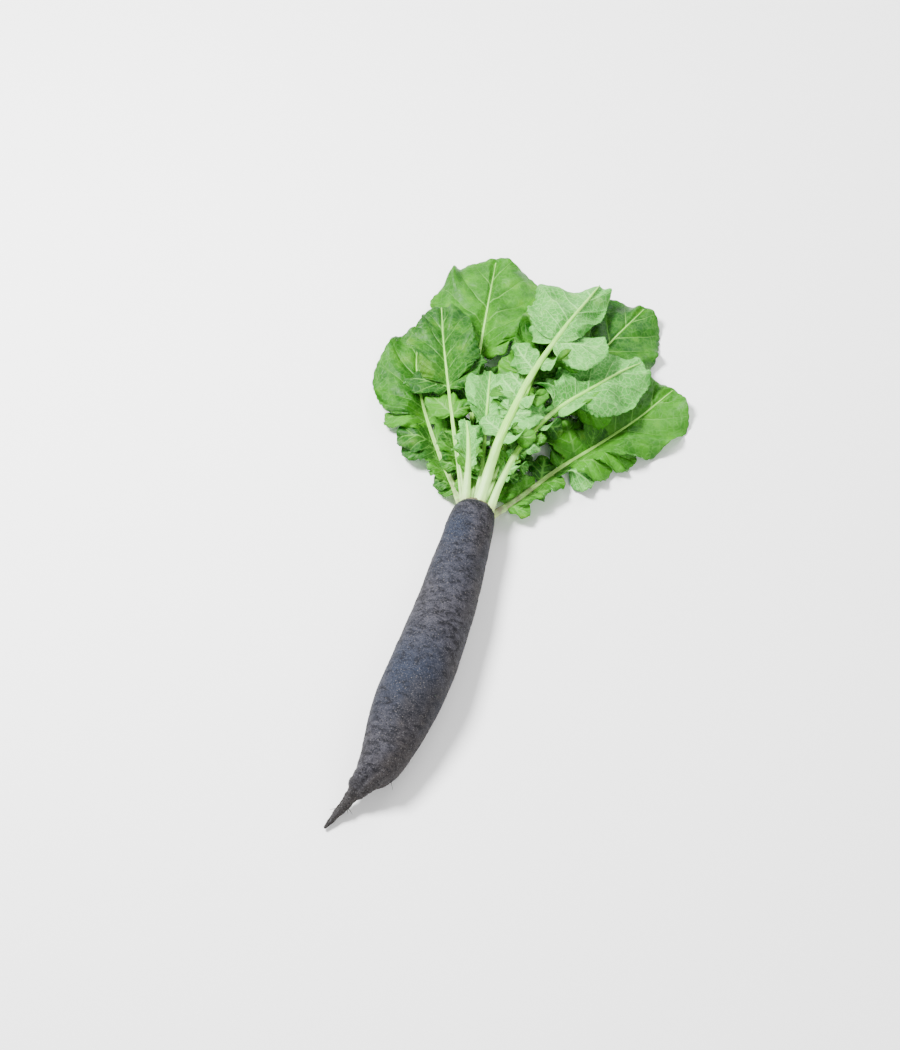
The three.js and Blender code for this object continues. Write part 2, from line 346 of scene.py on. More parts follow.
def attribute(tree, name, output="Fac"):
    return add(tree, "ShaderNodeAttribute", attribute_name=name).outputs[output]


def millimetres(tree):
    """The place on the piece in millimetres."""
    place = add(tree, "ShaderNodeTexCoord").outputs["Object"]
    return add(tree, "ShaderNodeVectorMath", {0: place, "Scale": 1 / MM}, operation="SCALE").outputs[0]


def new_material(name):
    material = bpy.data.materials.new(name)
    material.use_nodes = True
    material.node_tree.nodes.clear()
    return material, material.node_tree


def finish_material(tree, colour, roughness, height, depth, sheen=0.0, specular=0.5, through=None):
    """Ends a material: its colour, roughness and bumps, and the light that comes through it."""
    bump = add(tree, "ShaderNodeBump", {"Height": height, "Distance": depth * MM, "Strength": 1.0}).outputs[0]
    surface = add(
        tree,
        "ShaderNodeBsdfPrincipled",
        {
            "Base Color": colour,
            "Roughness": roughness,
            "Normal": bump,
            "Specular IOR Level": specular,
            "Sheen Weight": sheen,
            "Sheen Roughness": 0.5,
        },
    ).outputs[0]
    if through is not None:
        share, tint = through
        behind = add(tree, "ShaderNodeBsdfTranslucent", {"Color": tint, "Normal": bump}).outputs[0]
        surface = add(tree, "ShaderNodeMixShader", {0: share, 1: surface, 2: behind}).outputs[0]
    output = add(tree, "ShaderNodeOutputMaterial")
    tree.links.new(surface, output.inputs["Surface"])


def root_skin():
    """Charcoal skin with a slate-blue sheen painted in patches on its upward faces, brown on the right flank
    that is painted shade, brown dust along the far left edge and towards the tail, and pale specks.
    """
    material, tree = new_material("radish_skin")
    place = millimetres(tree)
    grain = speckle(tree, place, 0.9, 5, 0.65)
    banded = add(tree, "ShaderNodeVectorMath", {0: place, 1: (1, 1.9, 1)}, operation="MULTIPLY").outputs[0]
    mottle = speckle(tree, banded, 8.0, 6, 0.74, 0.5)
    patches = speckle(tree, place, 34, 3, 0.55, 0.4)
    painted_bluish_sheen = attribute(tree, "painted_bluish_sheen")
    dust_and_shade = attribute(tree, "dust_and_shade")
    tail = attribute(tree, "tail")
    blotch = ramp(tree, mottle, 0.39, 0.62)
    colour = blend(tree, blotch, (0.0070, 0.0070, 0.0095, 1), (0.042, 0.041, 0.051, 1))
    # A slate-blue sheen is painted here: a reflection, in patches on the upward-facing skin.
    painted_sheen_share = calc(tree, "MULTIPLY", painted_bluish_sheen, ramp(tree, mottle, 0.25, 0.6))
    colour = blend(tree, calc(tree, "MULTIPLY", painted_sheen_share, 0.8), colour, (0.009, 0.016, 0.033, 1))
    # Brown over the skin: painted shade on the right flank, which faces away from the key light, and dust
    # along the far left edge and towards the tail.
    dust_and_shade_share = calc(tree, "MULTIPLY", dust_and_shade, ramp(tree, patches, 0.3, 0.62))
    dust_and_shade_share = calc(tree, "MULTIPLY", dust_and_shade_share, ramp(tree, mottle, 0.3, 0.6))
    colour = blend(tree, calc(tree, "MULTIPLY", dust_and_shade_share, 0.75), colour, (0.032, 0.027, 0.023, 1))
    colour = blend(tree, calc(tree, "MULTIPLY", tail, 0.55), colour, (0.030, 0.027, 0.023, 1))
    worn = calc(tree, "MULTIPLY", ramp(tree, grain, 0.53, 0.68), 0.8)
    colour = blend(tree, worn, colour, (0.090, 0.087, 0.092, 1))
    colour = blend(tree, ramp(tree, grain, 0.46, 0.34), colour, (0.006, 0.006, 0.008, 1))
    flecks = add(tree, "ShaderNodeTexVoronoi", {"Vector": place, "Scale": 1 / 3.1, "Randomness": 1.0})
    fleck = ramp(tree, flecks.outputs["Distance"], 0.15, 0.07)
    fleck = calc(tree, "MULTIPLY", fleck, ramp(tree, patches, 0.36, 0.55))
    colour = blend(tree, calc(tree, "MULTIPLY", fleck, 0.65), colour, (0.15, 0.138, 0.125, 1))
    height = calc(tree, "ADD", calc(tree, "MULTIPLY", grain, 0.8), calc(tree, "MULTIPLY", mottle, 0.6))
    rough = calc(tree, "ADD", 0.58, calc(tree, "MULTIPLY", grain, 0.25))
    finish_material(tree, colour, rough, height, 0.38, specular=0.1)
    return material


def crown_skin():
    """Corky brown-green ring of old leaf scars, creamier towards its middle."""
    material, tree = new_material("radish_crown")
    place = millimetres(tree)
    grain = speckle(tree, place, 0.8, 4, 0.6)
    mottle = speckle(tree, place, 3.2, 3, 0.6, 0.5)
    inner = attribute(tree, "inner")
    colour = blend(tree, ramp(tree, mottle, 0.3, 0.7), (0.040, 0.030, 0.020, 1), (0.085, 0.075, 0.030, 1))
    colour = blend(tree, ramp(tree, inner, 0.25, 0.8), colour, (0.24, 0.25, 0.10, 1))
    colour = blend(tree, ramp(tree, grain, 0.55, 0.8), colour, (0.17, 0.14, 0.09, 1))
    finish_material(tree, colour, 0.7, calc(tree, "ADD", grain, mottle), 0.4)
    return material


def stalk_skin():
    """White at the base and yellow-green further up, with fine ribs, and purple where the leaf has it."""
    material, tree = new_material("radish_stalk")
    place = millimetres(tree)
    reach = attribute(tree, "reach")
    round_it = attribute(tree, "round_it")
    purple = attribute(tree, "purple")
    slow_reach = calc(tree, "MULTIPLY", reach, 0.03)
    streak_place = add(tree, "ShaderNodeCombineXYZ", {"X": round_it, "Y": slow_reach}).outputs[0]
    streaks = speckle(tree, streak_place, 0.45, 3, 0.6)
    mottle = speckle(tree, place, 7, 3, 0.5)
    colour = blend(tree, ramp(tree, reach, 4, 60), (0.42, 0.76, 0.22, 1), (0.26, 0.68, 0.06, 1))
    colour = blend(tree, ramp(tree, reach, 60, 210), colour, (0.22, 0.58, 0.06, 1))
    colour = blend(tree, ramp(tree, streaks, 0.4, 0.75), colour, (0.50, 0.90, 0.22, 1))
    stain = calc(tree, "MULTIPLY", purple, ramp(tree, mottle, 0.25, 0.65))
    colour = blend(tree, stain, colour, (0.16, 0.030, 0.085, 1))
    foot = ramp(tree, reach, 9, 2)
    colour = blend(tree, calc(tree, "MULTIPLY", foot, 0.5), colour, (0.30, 0.27, 0.10, 1))
    finish_material(tree, colour, 0.4, streaks, 0.25, through=(0.1, (0.3, 0.45, 0.1, 1)))
    return material


def veins(tree, width):
    """How much of a vein there is at a place on a lobe, from 0 to 1: the midrib and the side veins."""
    phase = attribute(tree, "vein_phase")
    spacing = attribute(tree, "vein_spacing")
    reach = attribute(tree, "vein_reach")
    away = calc(tree, "ABSOLUTE", calc(tree, "SUBTRACT", calc(tree, "FRACT", phase), 0.5))
    away = calc(tree, "MULTIPLY", calc(tree, "SUBTRACT", 0.5, away), spacing)
    thick = calc(tree, "SUBTRACT", width, calc(tree, "MULTIPLY", reach, width * 0.75))
    side = calc(tree, "SUBTRACT", 1.0, calc(tree, "DIVIDE", away, thick), clamp=True)
    midrib = attribute(tree, "from_midrib")
    main = calc(tree, "SUBTRACT", 1.0, calc(tree, "DIVIDE", midrib, width * 1.7), clamp=True)
    return calc(tree, "MAXIMUM", side, main)


def vein_net(tree, place, size):
    """The fine net between the side veins: 1 on a vein of the net and 0 between."""
    bending = {"Vector": place, "Scale": 1 / (size * 1.6), "Detail": 2.0}
    bent = add(tree, "ShaderNodeTexNoise", bending).outputs["Color"]
    moved = add(tree, "ShaderNodeVectorMath", {0: bent, "Scale": size * 0.9}, operation="SCALE").outputs[0]
    moved = add(tree, "ShaderNodeVectorMath", {0: place, 1: moved}, operation="ADD").outputs[0]
    cells = add(
        tree, "ShaderNodeTexVoronoi", {"Vector": moved, "Scale": 1 / size}, feature="DISTANCE_TO_EDGE"
    ).outputs["Distance"]
    return ramp(tree, cells, 0.11, 0.01)


def leaf_face(name, dark, light, vein, yellow, through, roughness, vein_height, net_share):
    """One face of a leaf: the upper is deeper green with sunken veins, the lower pale with raised ones."""
    material, tree = new_material(name)
    place = attribute(tree, "leaf_place", "Vector")
    tint = attribute(tree, "tint")
    age = attribute(tree, "age")
    rib = veins(tree, 0.85)
    coarse_net = vein_net(tree, place, 4.2)
    fine_net = vein_net(tree, place, 1.5)
    clouds = speckle(tree, place, 16, 4, 0.55, 0.5)
    grain = speckle(tree, place, 1.1, 3, 0.6)
    shade = calc(tree, "ADD", ramp(tree, clouds, 0.25, 0.75), tint)
    colour = blend(tree, calc(tree, "MULTIPLY", shade, 0.8, clamp=True), dark, light)
    worn = calc(tree, "MULTIPLY", age, ramp(tree, clouds, 0.55, 0.72))
    colour = blend(tree, worn, colour, yellow)
    colour = blend(tree, calc(tree, "MULTIPLY", fine_net, net_share * 0.45), colour, vein)
    colour = blend(tree, calc(tree, "MULTIPLY", coarse_net, net_share), colour, vein)
    colour = blend(tree, calc(tree, "MULTIPLY", ramp(tree, rib, 0.05, 0.75), 0.85), colour, vein)
    colour = blend(tree, calc(tree, "MULTIPLY", ramp(tree, grain, 0.5, 0.8), 0.18), colour, light)
    ribs = calc(tree, "ADD", rib, calc(tree, "MULTIPLY", coarse_net, 0.45))
    ribs = calc(tree, "ADD", ribs, calc(tree, "MULTIPLY", fine_net, 0.2))
    height = calc(tree, "ADD", calc(tree, "MULTIPLY", ribs, vein_height), calc(tree, "MULTIPLY", grain, 0.25))
    finish_material(tree, colour, roughness, height, 0.4, specular=0.22, through=through)
    return material


SKIN = root_skin()
CROWN = crown_skin()
STALK = stalk_skin()
UPPER_FACE = leaf_face(
    "radish_leaf_upper",
    dark=(0.006, 0.070, 0.003, 1),
    light=(0.060, 0.290, 0.010, 1),
    vein=(0.160, 0.440, 0.070, 1),
    yellow=(0.260, 0.360, 0.015, 1),
    through=(0.28, (0.10, 0.44, 0.004, 1)),
    roughness=0.4,
    vein_height=-0.8,
    net_share=0.22,
)
LOWER_FACE = leaf_face(
    "radish_leaf_lower",
    dark=(0.050, 0.290, 0.033, 1),
    light=(0.115, 0.490, 0.080, 1),
    vein=(0.300, 0.720, 0.190, 1),
    yellow=(0.340, 0.460, 0.060, 1),
    through=(0.22, (0.12, 0.50, 0.02, 1)),
    roughness=0.6,
    vein_height=1.0,
    net_share=0.55,
)


# The root.


def build_root():
    """The root's skin: its bends and lumps, fine rings, root scars, and the knobbly tail."""
    stations = smooth_curve(ROOT_STATIONS, ROOT_RINGS)
    centres, radii = stations[:, :3], stations[:, 3]
    spine = Spine(centres, UP)
    angle = np.arange(ROOT_SIDES) * 2 * math.pi / ROOT_SIDES
    out = ring_directions(spine, angle)
    bare = centres[:, None] + out * radii[:, None, None]
    y = bare[..., 1]
    body = smoothstep(TAIL_Y - 8, TAIL_Y + 22, y) * smoothstep(134, 122, y)
    tail = smoothstep(TAIL_Y + 2, TAIL_Y - 14, y)
    shrink = np.clip(radii / 10, 0.12, 1)[:, None]

    lift = fractal(bare, 46, 11, 2) * 0.9 * body + fractal(bare, 14, 21, 2) * 0.22 * shrink
    lift += noise(bare, 1.7, 31) * 0.07 * shrink + noise(bare * [1, 2.2, 1], 3.4, 41) * 0.08 * shrink
    lift += fine_rings(bare, angle) * shrink
    lift += root_scars(y, angle)
    lift += tail * (fractal(bare * [1, 0.8, 1], 7, 51, 3) * 1.1 * np.clip(radii / 6, 0.25, 1)[:, None])
    lift += tail * tail_ridges(y, angle) * shrink
    lift += shoulder(bare, out)
    rings = bare + out * lift[..., None]
    rings[..., 2] = np.maximum(rings[..., 2], 0.02)
    start = centres[0] - spine.along[0] * 1.2
    end = centres[-1] + spine.along[-1] * 0.8
    points = tube_points(rings, start, end)

    side = np.concatenate([out[..., 0].ravel(), [0, 0]])
    top = np.concatenate([out[..., 2].ravel(), [0, 0]])
    across = points * [1, 0.6, 1]
    cast = fractal(across, 26, 61, 3)
    station = points[:, 1]
    crown_patch = 1.1 * bell(station, 100, 16) * smoothstep(0.6, -0.5, side)
    patches = crown_patch + 0.9 * bell(station, -30, 34) + 0.5 * bell(station, 60, 26)
    # Where the slate-blue sheen is painted: patches on the upward-facing skin, a painted reflection.
    painted_bluish_sheen = np.clip(patches * smoothstep(-0.1, 0.8, top + cast * 0.5) + cast * 0.18, 0, 1)
    # Brown: painted shade on the right flank, away from the key light, and dust along the far left edge and
    # towards the tail.
    right_shade_left_dust = 0.9 * smoothstep(0.1, 0.85, side + cast * 0.45) + 0.5 * smoothstep(-0.7, -1.0, side)
    dust_and_shade = np.clip(right_shade_left_dust + 0.35 * smoothstep(-40, -95, station), 0, 1)
    tail_share = smoothstep(TAIL_Y - 6, TAIL_Y - 30, station + cast * 6)
    faces = tube_faces(ROOT_RINGS, ROOT_SIDES)
    piece = make_piece(
        "radish_root", points, faces, [SKIN],
        attributes={"painted_bluish_sheen": painted_bluish_sheen, "dust_and_shade": dust_and_shade, "tail": tail_share},
    )
    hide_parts("taproot")


def bell(places, middle, spread):
    """A bump of height 1 round a middle."""
    return np.exp(-(((places - middle) / spread) ** 2))


def fine_rings(bare, angle):
    """Faint grooves that run part of the way round, closer together near both ends."""
    rng = np.random.default_rng(5)
    groove = np.zeros(bare.shape[:2])
    wavy = bare[..., 1] + 1.3 * noise(bare, 16, 71)
    spans = ((-95, 128, 46), (-100, -60, 16), (105, 130, 12))
    places = np.concatenate([rng.uniform(*span) for span in spans])
    for at in places:
        middle, spread = rng.uniform(0, 2 * math.pi), rng.uniform(0.4, 1.3)
        deep, width = rng.uniform(0.08, 0.26), rng.uniform(0.35, 0.8)
        turn = np.abs((angle - middle + math.pi) % (2 * math.pi) - math.pi)
        groove -= deep * bell(wavy, at, width) * smoothstep(spread, spread * 0.5, turn)[None, :]
    return groove


def root_scars(y, angle):
    """Slits with raised lips where side roots came out, in two rows, one on each flank."""
    rng = np.random.default_rng(9)
    scars = np.zeros(y.shape)
    for row in (0.55, 0.55 + math.pi):
        for at in np.arange(-88, 112, 11.5):
            place = at + rng.uniform(-4, 4)
            middle = row + rng.uniform(-0.35, 0.35)
            wide, deep = rng.uniform(0.05, 0.13), rng.uniform(0.25, 0.6)
            turn = ((angle - middle + math.pi) % (2 * math.pi) - math.pi)[None, :]
            away = np.sqrt((turn / wide) ** 2 + ((y - place) / 0.95) ** 2)
            scars += deep * (0.7 * np.exp(-(((away - 1.4) / 0.6) ** 2)) - np.exp(-(away**2)))
    return scars


def tail_ridges(y, angle):
    """Rings and lengthwise creases where the tail dried and shrank."""
    rings = 0.95 * wander(y, 2.6, 81) + 0.45 * wander(y, 1.1, 82)
    creases = 0.35 * np.sin(5 * angle[None, :] + 0.1 * y) + 0.2 * np.sin(9 * angle[None, :] - 0.17 * y)
    return rings + creases


def shoulder(bare, out):
    """The step on the left where the body narrows to the tail."""
    left = smoothstep(0.1, 0.95, -out[..., 0] * 0.9 + out[..., 2] * 0.35)
    y = bare[..., 1]
    knob = 3.2 * bell(y, -111, 4.2) + 1.0 * bell(y, -121, 2.6)
    return knob * left


def build_crown():
    """The collar that the leaves grow from: a low dome with rings of crescent leaf scars."""
    rings_count, sides = 60, 110
    share = np.linspace(0, 1, rings_count)
    angle = np.arange(sides) * 2 * math.pi / sides
    axis = unit(np.array([-0.01, 1.0, 0.01]))
    right = unit(np.cross(axis, UP))
    top = np.cross(right, axis)
    radius = 13.4 * np.cos(share * math.pi / 2) ** 0.6 + 0.05
    forward = -2.5 + 7.6 * share**0.75
    ring = np.cos(angle)[None, :, None] * right + np.sin(angle)[None, :, None] * top
    points = CROWN_CENTRE + axis * forward[:, None, None] + ring * radius[:, None, None]
    scars = np.abs(np.sin(3.5 * angle[None, :] + 6 * share[:, None])) ** 0.6
    scars = scars * np.sin(share * 4 * math.pi)[:, None]
    lift = 0.55 * scars + 0.5 * fractal(points, 4, 91, 3) + 0.15 * noise(points, 1.2, 95)
    points = points + (ring * 0.7 + axis * 0.7) * (lift * smoothstep(0, 0.1, share)[:, None])[..., None]
    ends = [CROWN_CENTRE + axis * forward[0], CROWN_CENTRE + axis * (forward[-1] + 0.1)]
    inner = np.concatenate([np.repeat(share, sides), [0, 1]])
    piece = make_piece(
        "radish_crown", tube_points(points, *ends), tube_faces(rings_count, sides), [CROWN],
        attributes={"inner": inner},
    )
    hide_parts("crown")


def build_rootlets():
    """Thin side roots on the tail and out of a few scars."""
    rng = np.random.default_rng(12)
    stations = smooth_curve(ROOT_STATIONS, 300)
    sides, steps = 7, 16
    all_points, all_faces = [], []
    places = np.concatenate([rng.uniform(-138, -98, 7), rng.uniform(-90, 60, 5)])
    for at in places:
        row = stations[np.argmin(np.abs(stations[:, 1] - at))]
        turn = rng.choice([0.3, math.pi - 0.3]) + rng.uniform(-0.7, 0.7)
        out = np.array([math.cos(turn), rng.uniform(-0.35, -0.05), math.sin(turn)])
        length = rng.uniform(2.5, 8) if at < -96 else rng.uniform(1.5, 4)
        bend = rng.normal(0, 0.4, 3)
        walk = np.linspace(0, 1, steps)[:, None]
        fall = np.array([0, -0.55, -0.35]) * walk**2 + bend * walk**2 * 0.6
        centres = row[:3] + out * (row[3] * 0.85) + (out * walk * 0.7 + fall) * length
        wiggle = [wander(walk[:, 0] * length, 2.5, int(at * 7) + k) for k in range(3)]
        centres += 0.25 * np.stack(wiggle, axis=1)
        centres[:, 2] = np.maximum(centres[:, 2], 0.4)
        radii = np.linspace(0.42, 0.09, steps) * (0.7 if at > -96 else 1)
        all_faces += tube_faces(steps, sides, sum(len(points) for points in all_points))
        all_points.append(round_tube(centres, radii, sides))
    points = np.vstack(all_points)
    full = np.ones(len(points))
    make_piece(
        "radish_rootlets", points, all_faces, [SKIN],
        attributes={"painted_bluish_sheen": full * 0, "dust_and_shade": full, "tail": full},
    )


# The leaves.


class Ground:
    """How high the things already laid reach, over a grid of square cells one millimetre wide."""

    LOW, SIZE = np.array([-160.0, 100.0]), (340, 320)
    CLEAR = 0.5
    SPREAD = 7
    MOST_LIFT = 14.0  # what lies further above a point than this is taken to be over it, not under it
    CEILING, SQUASH = 45.0, 0.65  # heights past the ceiling lose this share, as leaves pressed together do

    def __init__(self):
        self.height = np.zeros(self.SIZE)

    def cells(self, points):
        cell = np.floor(points[..., :2] - self.LOW).astype(int)
        return np.clip(cell[..., 0], 0, self.SIZE[0] - 1), np.clip(cell[..., 1], 0, self.SIZE[1] - 1)

    @staticmethod
    def spread(field, reach, how):
        """Each cell's greatest or mean value within `reach` cells."""
        for axis in (0, 1):
            shifted = [np.roll(field, k, axis) for k in range(-reach, reach + 1)]
            field = how(shifted, axis=0)
        return field

    def lay(self, points, under):
        """Lifts points so that `under` below each of them stays clear of what is already there."""
        x, y = self.cells(points)
        need = np.maximum(self.height[x, y] + self.CLEAR - (points[..., 2] - under), 0)
        need[need > self.MOST_LIFT] = 0
        field = np.zeros(self.SIZE)
        np.maximum.at(field, (x, y), need)
        field = self.spread(self.spread(field, self.SPREAD, np.max), self.SPREAD, np.mean)
        field = self.spread(field, 2, np.mean)
        raised = points.copy()
        raised[..., 2] += field[x, y]
        raised[..., 2] -= self.SQUASH * np.maximum(raised[..., 2] - self.CEILING, 0)
        return raised

    def add(self, points):
        x, y = self.cells(points)
        top = np.full(self.SIZE, -1.0)
        np.maximum.at(top, (x, y), points[..., 2])
        self.height = np.maximum(self.height, self.spread(top, 1, np.max))


ground = Ground()

FIRST_TURN = 0.5  # where a lobe's outline leaves the stalk, as an angle round its oval
VEIN_FAN = 2.0  # past 1, side veins start closer together towards the lobe's base, and fan out from it


def flat_lobe(length, half_width, egg, rows, columns, seed, teeth, tooth):
    """A lobe's outline and the lines of its side veins, laid flat: each row is a line from the midrib to the
    margin, from the lobe's base to its tip, and columns go from the left margin to the right."""
    share = np.linspace(0, 1, rows)
    out = np.linspace(0, 1, columns + 1)
    turn = FIRST_TURN + (math.pi - FIRST_TURN) * share
    halves = []
    for hand in (-1, 1):
        x = half_width * np.sin(turn) ** 0.9 * (1 + egg * np.cos(turn))
        y = length * (0.5 - 0.5 * np.cos(turn))
        x = x * (1 + 0.13 * wander(share * 10 + hand * 40, 2.6, seed))
        edge = np.stack([x, y], axis=1)
        direction = np.gradient(edge, axis=0)
        normal = unit(np.stack([direction[:, 1], -direction[:, 0]], axis=1))
        phase = teeth * share + 0.35 * wander(share * 20, 3.0, seed + 7 + hand)
        notch = np.abs(np.sin(math.pi * phase)) ** 0.75 - 0.6
        notch = notch + 1.3 * wander(phase, 2.6, seed + 27 + hand)
        size = tooth * (0.75 + 0.45 * wander(share * 20, 4.0, seed + 17 + hand))
        fade = smoothstep(0, 0.08, share) * smoothstep(1.0, 0.97, share)
        edge = edge + normal * (notch * size * fade)[:, None]
        edge[-1] = (0, edge[-2, 1])
        start = 0.96 * length * share**VEIN_FAN
        across = edge[:, 0][:, None] * out
        along = start[:, None] * (1 - out) + edge[:, 1][:, None] * out
        along = along - 0.1 * length * (out - out**2) * (1 - share[:, None] ** 2)
        halves.append((hand * across, along))
    (left_x, left_y), (right_x, right_y) = halves
    across = np.hstack([left_x[:, :0:-1], right_x])
    along = np.hstack([left_y[:, :0:-1], right_y])
    out = np.concatenate([out[:0:-1], out])
    return across, along, share, out


def sheet_faces(rows, columns):
    """Faces of a closed sheet. The last row's two halves are one line, because the tip is shared."""
    wide = 2 * columns + 1
    index = np.arange(rows * wide).reshape(rows, wide)
    index[-1, columns + 1:] = index[-1, :columns][::-1]
    corners = [index[:-1, :-1], index[:-1, 1:], index[1:, 1:], index[1:, :-1]]
    upper = np.stack(corners, axis=-1).reshape(-1, 4)
    below = rows * wide
    lower = upper[:, ::-1] + below
    edge = np.concatenate([index[::-1, 0], index[0, 1:], index[1:, -1]])
    edge = edge[np.concatenate([[True], np.diff(edge) != 0])]
    rim = np.stack([edge[1:], edge[:-1], edge[:-1] + below, edge[1:] + below], axis=-1)
    return upper, lower, rim


def surface_normals(middle):
    """Normals of a grid of points, out of the sheet's upper face."""
    down = np.gradient(middle, axis=0)
    across = np.gradient(middle, axis=1)
    normals = np.cross(across, down)
    lengths = np.linalg.norm(normals, axis=-1, keepdims=True)
    return normals / np.maximum(lengths, 1e-9)


class Blade:
    """Gathers a leaf's lobes into one piece."""

    KEYS = ("leaf_place", "vein_phase", "vein_spacing", "vein_reach", "from_midrib", "tint", "age")

    def __init__(self, name, stalk):
        self.name = name
        self.stalk = stalk
        self.points, self.faces, self.face_material = [], [], []
        self.count = 0
        self.values = {key: [] for key in self.KEYS}

    def add_lobe(self, spine, length, half_width, look, seed, rows, columns):
        """A lobe along a spine. `look` gives its folds, bulges, ripples and colours."""
        across, along, share, out = flat_lobe(
            length, half_width, look["egg"], rows, columns, seed, look["teeth"], look["tooth"]
        )
        hand = np.sign(across)
        across = across * (1 + look["skew"] * hand)
        flat = np.stack([across, along, np.full_like(across, seed * 3.7)], axis=-1)
        phase = look["veins"] * share[:, None] ** 0.9 + np.where(hand < 0, 0.28, 0.0) + 0.1
        between = np.abs(np.sin(math.pi * phase)) ** 0.75
        bulge = look["bulge"] * between * (1 - (1 - out) ** 3) * (1 - 0.6 * out**3)
        height = bulge + fractal(flat, 11, seed + 1, 2) * 0.5 * look["bulge"]
        height = height + fractal(flat, 30, seed + 2, 2) * look["warp"] * out
        turns = look["ripples"] * share[:, None] + 0.23 * hand
        wave = np.sin(2 * math.pi * turns + 2.2 * noise(flat, 24, seed + 3))
        calm = smoothstep(0, 0.15, share) * smoothstep(1.0, 0.86, share)
        height = height + look["ripple"] * out**2.4 * wave * calm[:, None]
        height = height - look["camber"] * across**2 / half_width
        fold = look["fold"] * smoothstep(0, 0.25, share)[:, None]
        bent_x = across * np.cos(fold) - hand * height * np.sin(fold)
        bent_z = height * np.cos(fold) + np.abs(across) * np.sin(fold)
        middle = spine.place(bent_x, along, bent_z)
        middle[..., 2] -= look["hang"] * across**2 / (np.abs(across) + 8)
        middle[-1, columns + 1:] = middle[-1, :columns][::-1]
        thick = look["thick"] * (1 - 0.45 * out**2)
        thick = thick[None, :] + look["vein_relief"] * (1 - between) ** 3 * (1 - out) ** 0.6
        middle = self.stalk.tuck(ground.lay(middle, thick * 0.7 + 0.2))
        middle[..., 2] = np.maximum(middle[..., 2], 0.25 + thick * 0.5)
        normals = surface_normals(middle)
        normals[-1, columns + 1:] = normals[-1, :columns][::-1]
        normals[-1, columns] = normals[-2, columns]
        upper = middle + normals * (look["thick"] * 0.5)
        lower = middle - normals * (thick - look["thick"] * 0.5)[..., None]
        ground.add(np.concatenate([upper.reshape(-1, 3), lower.reshape(-1, 3)]))

        spacing = (length * 1.25 / look["veins"]) * (0.55 + 0.9 * out[None, :]) + 0 * across
        past_midrib = 0.5 * length * smoothstep(0.9, 1.0, share)[:, None] * out[None, :]
        values = {
            "leaf_place": flat,
            "vein_phase": phase + 0 * across,
            "vein_spacing": spacing,
            "vein_reach": out[None, :] + 0 * across,
            "from_midrib": np.abs(across) + past_midrib,
            "tint": np.full_like(across, look["tint"]),
            "age": np.full_like(across, look["age"]),
        }
        for key, value in values.items():
            both = np.concatenate([value, value])
            self.values[key].append(both.reshape(-1, 3) if key == "leaf_place" else both.ravel())
        upper_faces, lower_faces, rim_faces = sheet_faces(rows, columns)
        for material, faces in ((0, upper_faces), (1, lower_faces), (0, rim_faces)):
            self.faces += (faces + self.count).tolist()
            self.face_material += [material] * len(faces)
        self.points.append(np.concatenate([upper.reshape(-1, 3), lower.reshape(-1, 3)]))
        self.count += 2 * across.size

    def finish(self):
        points = np.vstack(self.points)
        used = np.zeros(len(points), bool)
        used[np.unique(np.concatenate([np.asarray(face) for face in self.faces]))] = True
        order = np.cumsum(used) - 1
        faces = [tuple(order[list(face)]) for face in self.faces]
        attributes = {}
        for key, values in self.values.items():
            joined = np.vstack(values) if key == "leaf_place" else np.concatenate(values)
            attributes[key] = joined[used]
        return make_piece(
            self.name, points[used], faces, [UPPER_FACE, LOWER_FACE],
            face_material=self.face_material, attributes=attributes,
        )


def lobe_look(rng, size, turned, hang, **changes):
    """A lobe's look, from a random draw and its size."""
    look = dict(
        egg=rng.uniform(-0.12, 0.12),
        teeth=max(3.5, size * 0.3),
        tooth=0.25 + size * 0.024,
        veins=5.0 if size < 45 else 6.5,
        bulge=0.25 + size * 0.022,
        warp=0.4 + size * 0.05,
        ripples=rng.uniform(1.8, 3.2),
        ripple=0.4 + size * 0.07,
        camber=rng.uniform(-0.05, 0.15) * (-1 if turned else 1),
        fold=rng.uniform(-0.15, 0.35),
        hang=hang,
        thick=0.42,
        vein_relief=0.35,
        tint=rng.uniform(-0.35, 0.4),
        skew=rng.uniform(-0.1, 0.1),
        age=rng.uniform(0, 0.25),
    )
    look.update(changes)
    return look


def side_spine(stalk, reach, hand, length, lean, roll, sag):
    """A side lobe's own midrib: out from the stalk, sweeping forward and sagging, rolled about itself."""
    centre, along, side, normal = (values[0] for values in stalk.at(np.array([reach])))
    steps = 24
    walk = np.linspace(0, 1, steps)
    heading = along * math.cos(lean) + side * hand * math.sin(lean)
    path = [centre + normal * 0.6]
    for k in range(steps - 1):
        step = unit(heading + along * 0.25 * walk[k] - UP * sag * walk[k])
        path.append(path[-1] + step * length / (steps - 1))
    return Spine(np.array(path), normal, roll * walk**0.8)


def stalk_size(base, share, turned):
    """A stalk's half width and half height, with a wider foot. Seen from below it stays a thick midrib."""
    narrow = (1 - share) ** (0.8 if turned else 1.35)
    foot = 1 + 0.28 * np.exp(-share * 26)
    return (0.4 + (base[0] - 0.4) * narrow) * foot, (0.55 + (base[1] - 0.55) * narrow) * foot


